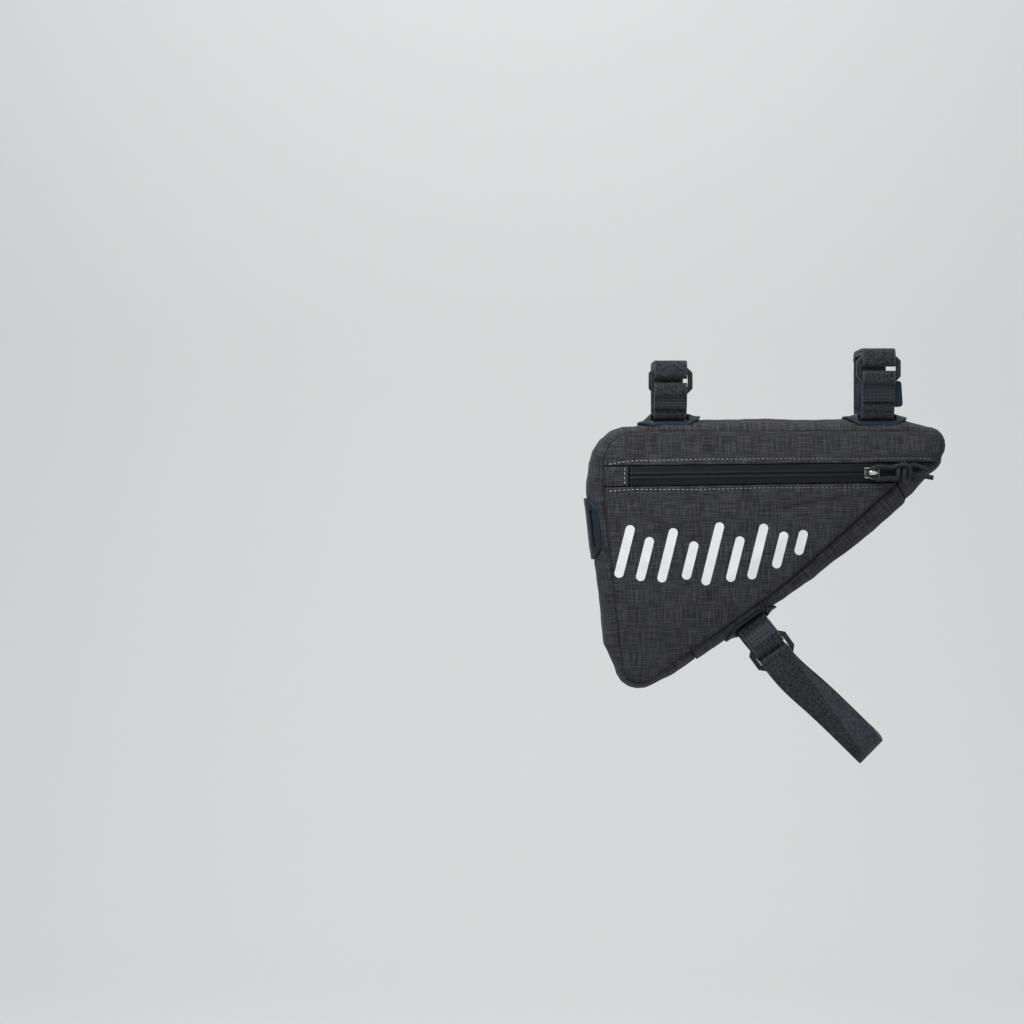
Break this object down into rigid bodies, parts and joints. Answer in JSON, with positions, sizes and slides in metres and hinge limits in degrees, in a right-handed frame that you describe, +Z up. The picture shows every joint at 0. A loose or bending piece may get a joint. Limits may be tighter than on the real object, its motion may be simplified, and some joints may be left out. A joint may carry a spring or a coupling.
{
  "type": "bicycle frame bag",
  "caption": "Small triangular zipped fabric bag that straps under a bicycle's top tube and to the tube below it with ring-buckled hook-and-loop straps.",
  "frame": {"origin": "on the bicycle top tube's axis, midway between the two top straps", "axes": "+X along the bicycle towards the handlebar, +Y into the bag from its zipped side, +Z up"},
  "size_m": [0.2432, 0.065, 0.2791],
  "materials": {
    "fabric": "woven charcoal polyester, matt",
    "coated": "coated black zip tape, satin",
    "rubber": "rubbery black sheet, matt",
    "webbing": "fuzzy black hook-and-loop webbing",
    "plastic": "black moulded plastic, satin",
    "nickel": "plated metal, slightly worn",
    "cord": "braided dark cord, matt"
  },
  "bodies": {
    "root": {"front_panel_upper": "fabric", "front_panel_lower": "fabric", "zip_end_tab": "fabric", "zip_tape": "coated", "back_panel": "fabric", "gusset_wrap": "fabric", "gusset_lower": "fabric", "patch_top_rear": "rubber", "patch_top_front": "rubber", "patch_side": "rubber", "patch_lower": "rubber", "strap_top_rear": "webbing", "strap_top_front": "webbing", "strap_lower": "webbing", "buckle_top_rear": "plastic", "buckle_top_front": "plastic", "buckle_lower": "plastic", "grip_pad": "rubber", "zip_slider": "nickel", "pull_cord_upper": "cord", "pull_cord_lower": "cord", "pull_tail_upper": "cord", "pull_tail_lower": "cord", "pull_knot": "cord"}
  },
  "joints": []
}
